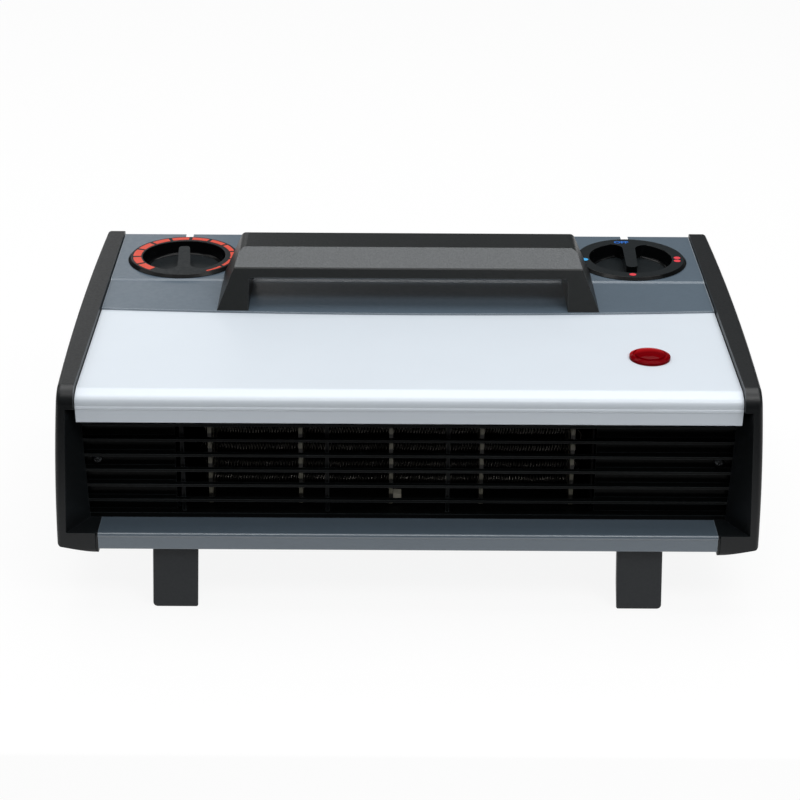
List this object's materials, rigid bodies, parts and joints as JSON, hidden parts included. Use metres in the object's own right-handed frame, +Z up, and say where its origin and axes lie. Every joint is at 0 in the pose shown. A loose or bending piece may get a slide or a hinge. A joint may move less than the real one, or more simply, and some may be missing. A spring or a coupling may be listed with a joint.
{
  "type": "fan convector heater",
  "caption": "Low fan-forced convector heater: sheet-metal case on feet, front outlet grille over coil elements, carrying handle, thermostat and selector knobs, tangential blower inside.",
  "frame": {"origin": "on the floor under the middle of the case", "axes": "+X to the right seen from the front, +Y to the back, +Z up"},
  "size_m": [0.3938, 0.248, 0.1635],
  "materials": {
    "case_paint": "satin blue-grey paint",
    "silver_panel": "gloss silver paint",
    "cap_plastic": "satin black",
    "grille_plastic": "matt black",
    "handle_plastic": "grained black",
    "knob_plastic": "satin black",
    "foot_plastic": "matt black",
    "lens_plastic": "clear red",
    "lamp_glass": "clear",
    "bare_steel": "bright",
    "stack_steel": "laminated",
    "wheel_metal": "satin",
    "winding": "enamelled wire",
    "brass_fittings": "bright",
    "mica_sheet": "flaky satin",
    "coil_wire": "oxidised",
    "ceramic": "glazed",
    "switch_plastic": "cream",
    "gland_rubber": "matt",
    "screw_steel": "zinc"
  },
  "bodies": {
    "case": {"base_pan": "case_paint", "front_trim": "case_paint", "top_cover": "case_paint", "back_panel": "case_paint", "front_panel": "silver_panel", "left_end_cap": "cap_plastic", "right_end_cap": "cap_plastic", "outlet_grille": "grille_plastic", "handle": "handle_plastic", "foot_front_left": "foot_plastic", "foot_front_right": "foot_plastic", "foot_rear_left": "foot_plastic", "foot_rear_right": "foot_plastic", "neon_lens": "lens_plastic", "neon_lamp": "lamp_glass", "thermostat_bracket": "bare_steel", "selector_bracket": "bare_steel", "neon_clip": "bare_steel", "inner_motor_bracket": "bare_steel", "outer_motor_bracket": "bare_steel", "left_duct_wall": "bare_steel", "right_duct_wall": "bare_steel", "blower_scroll": "bare_steel", "blower_tongue": "bare_steel", "element_rails": "bare_steel", "motor_stator": "stack_steel", "motor_coil": "winding", "control_nuts": "brass_fittings", "wheel_bush": "brass_fittings", "mica_cards": "mica_sheet", "heater_coils": "coil_wire", "thermal_cutout": "ceramic", "thermostat_body": "ceramic", "selector_switch": "switch_plastic", "terminal_block": "switch_plastic", "cord_gland": "gland_rubber", "grille_screws": "screw_steel", "handle_screws": "screw_steel", "cap_screws": "screw_steel", "foot_screws": "screw_steel"},
    "thermostat_dial": {"thermostat_knob": "knob_plastic", "thermostat_spindle": "bare_steel"},
    "selector_dial": {"selector_knob": "knob_plastic", "selector_spindle": "bare_steel"},
    "blower": {"blower_wheel": "wheel_metal", "motor_shaft": "bare_steel", "motor_rotor": "bare_steel"}
  },
  "joints": [
    {"name": "thermostat_turn", "type": "hinge", "parent": "case", "child": "thermostat_dial", "pos_m": [-0.1385, 0.0787, 0.134], "axis": [0, 0, 1], "range_deg": [-135, 135]},
    {"name": "selector_turn", "type": "hinge", "parent": "case", "child": "selector_dial", "pos_m": [0.1385, 0.0787, 0.134], "axis": [0, 0, 1], "range_deg": [-270, 0]},
    {"name": "blower_spin", "type": "hinge", "parent": "case", "child": "blower", "pos_m": [0, 0.028, 0.0838], "axis": [1, 0, 0], "continuous": true}
  ]
}
